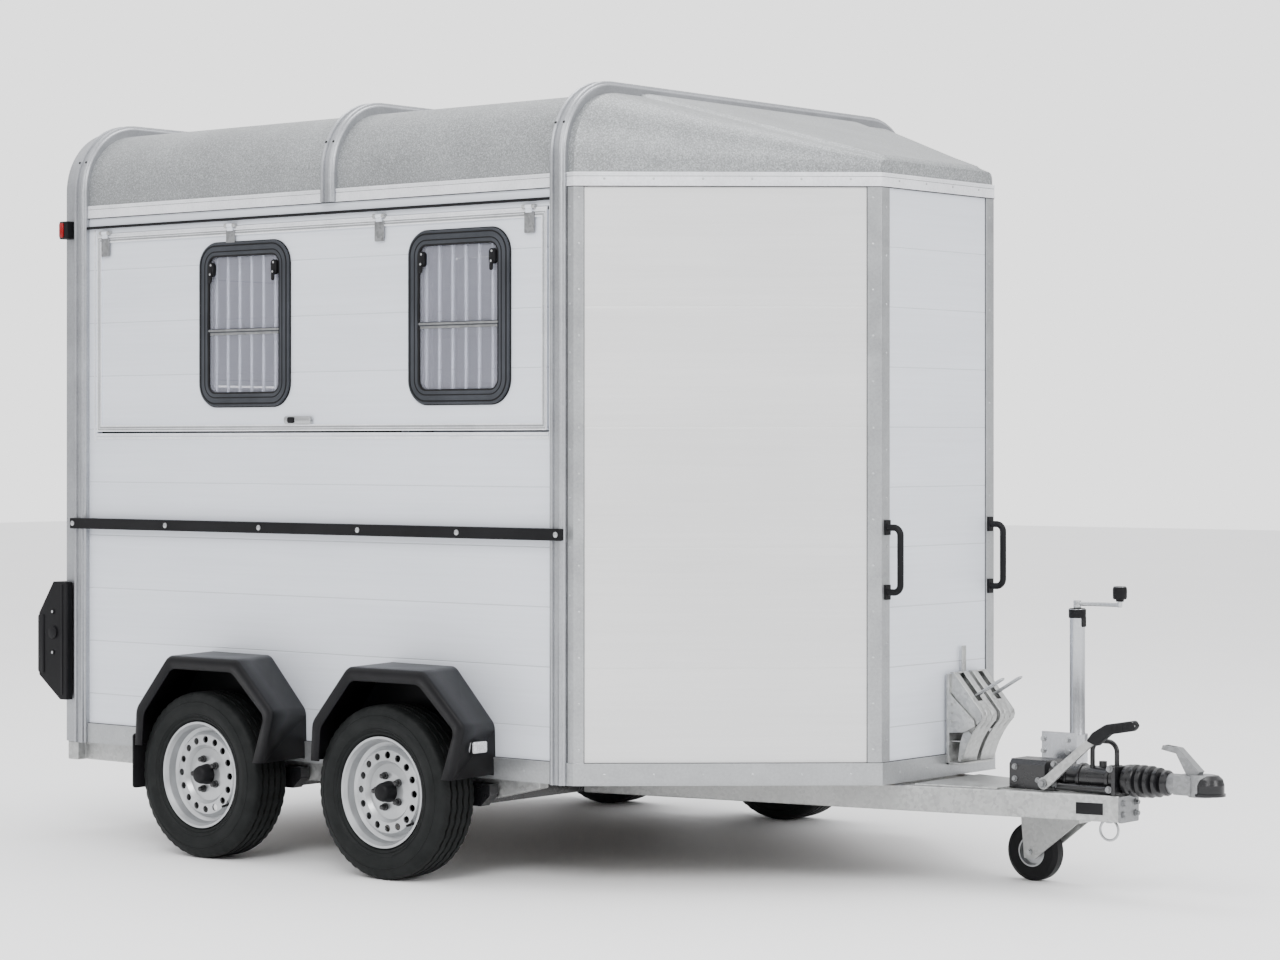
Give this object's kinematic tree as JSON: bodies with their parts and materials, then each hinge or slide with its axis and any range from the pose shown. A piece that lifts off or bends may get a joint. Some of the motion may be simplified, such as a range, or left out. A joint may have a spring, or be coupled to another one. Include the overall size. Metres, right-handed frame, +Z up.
{
  "type": "horse trailer",
  "caption": "Twin-axle aluminium horse trailer with a pointed nose, arched roof hoops, windowed side flaps, rear ramp, top flap, overrun drawbar and jockey wheel.",
  "frame": {"origin": "on the ground, on the centre line, below the middle of the whole length", "axes": "+X forward to the towing coupling, +Y to the trailer's left, +Z up"},
  "size_m": [4.517, 2.46, 2.7],
  "materials": {
    "panel": "satin",
    "trim": "satin",
    "roof": "satin",
    "galvanised": "satin",
    "floor_board": "matte",
    "black_plastic": "matte",
    "glass": "gloss",
    "black_steel": "satin",
    "soft_black": "matte",
    "tyre": "matte",
    "wheel_silver": "satin"
  },
  "bodies": {
    "trailer": {"axles": "galvanised", "chassis": "galvanised", "chocks": "galvanised", "coupling_head": "galvanised", "cross_members": "galvanised", "edge_strips": "trim", "floor": "floor_board", "front_panel": "panel", "grab_handles": "black_plastic", "hinges": "galvanised", "hoops": "trim", "jockey_holder": "galvanised", "lamps": "black_plastic", "mudguards": "black_plastic", "nose_panels": "panel", "overrun_housing": "black_steel", "rear_portal": "trim", "roof_cap": "roof", "roof_shell": "roof", "roof_trims": "trim", "side_strips": "black_plastic", "side_walls": "panel", "soft_covers": "soft_black"},
    "side_flap_right": {"side_flap_right": "panel", "window_frames_right": "black_plastic", "window_panes_right": "glass"},
    "side_flap_left": {"side_flap_left": "panel", "window_frames_left": "black_plastic", "window_panes_left": "glass"},
    "ramp": {"ramp": "panel"},
    "top_flap": {"top_flap": "panel"},
    "handbrake_lever": {"handbrake_lever": "black_steel"},
    "jockey_crank": {"jockey_crank": "black_steel"},
    "jockey_stem": {"jockey_stem": "galvanised"},
    "jockey_fork": {"jockey_fork": "galvanised"},
    "jockey_wheel": {"jockey_tyre": "soft_black", "jockey_rim": "black_plastic"},
    "wheel_front_right": {"tyre_front_right": "tyre", "rim_front_right": "wheel_silver"},
    "wheel_rear_right": {"tyre_rear_right": "tyre", "rim_rear_right": "wheel_silver"},
    "wheel_front_left": {"tyre_front_left": "tyre", "rim_front_left": "wheel_silver"},
    "wheel_rear_left": {"tyre_rear_left": "tyre", "rim_rear_left": "wheel_silver"}
  },
  "joints": [
    {"name": "wheel_front_right_spin", "type": "hinge", "parent": "trailer", "child": "wheel_front_right", "pos_m": [-0.3035, -1.12, 0.298], "axis": [0, 1, 0], "continuous": true},
    {"name": "wheel_rear_right_spin", "type": "hinge", "parent": "trailer", "child": "wheel_rear_right", "pos_m": [-1.2075, -1.12, 0.298], "axis": [0, 1, 0], "continuous": true},
    {"name": "wheel_front_left_spin", "type": "hinge", "parent": "trailer", "child": "wheel_front_left", "pos_m": [-0.3035, 1.12, 0.298], "axis": [0, 1, 0], "continuous": true},
    {"name": "wheel_rear_left_spin", "type": "hinge", "parent": "trailer", "child": "wheel_rear_left", "pos_m": [-1.2075, 1.12, 0.298], "axis": [0, 1, 0], "continuous": true},
    {"name": "side_flap_right_lift", "type": "hinge", "parent": "trailer", "child": "side_flap_right", "pos_m": [-0.8475, -1.01, 2.278], "axis": [-1, 0, 0], "range_deg": [0, 85]},
    {"name": "side_flap_left_lift", "type": "hinge", "parent": "trailer", "child": "side_flap_left", "pos_m": [-0.8475, 1.01, 2.278], "axis": [1, 0, 0], "range_deg": [0, 85]},
    {"name": "ramp_lower", "type": "hinge", "parent": "trailer", "child": "ramp", "pos_m": [-2.1735, 0, 0.398], "axis": [0, -1, 0], "range_deg": [0, 106]},
    {"name": "top_flap_lift", "type": "hinge", "parent": "trailer", "child": "top_flap", "pos_m": [-2.1735, 0, 2.572], "axis": [0, 1, 0], "range_deg": [0, 100]},
    {"name": "handbrake_pull", "type": "hinge", "parent": "trailer", "child": "handbrake_lever", "pos_m": [1.6445, -0.09, 0.37], "axis": [0, 1, 0], "range_deg": [-50, 28]},
    {"name": "jockey_lift", "type": "slide", "parent": "trailer", "child": "jockey_stem", "axis": [0, 0, 1], "range_m": [-0.08, 0.1]},
    {"name": "jockey_swivel", "type": "hinge", "parent": "jockey_stem", "child": "jockey_fork", "pos_m": [1.5825, 0.219, 0.216], "axis": [0, 0, 1], "continuous": true},
    {"name": "jockey_wheel_spin", "type": "hinge", "parent": "jockey_fork", "child": "jockey_wheel", "pos_m": [1.4175, 0.219, 0.1], "axis": [0, 1, 0], "continuous": true},
    {"name": "jockey_crank_turn", "type": "hinge", "parent": "trailer", "child": "jockey_crank", "pos_m": [1.5825, 0.219, 0.95], "axis": [0, 0, 1], "continuous": true}
  ]
}
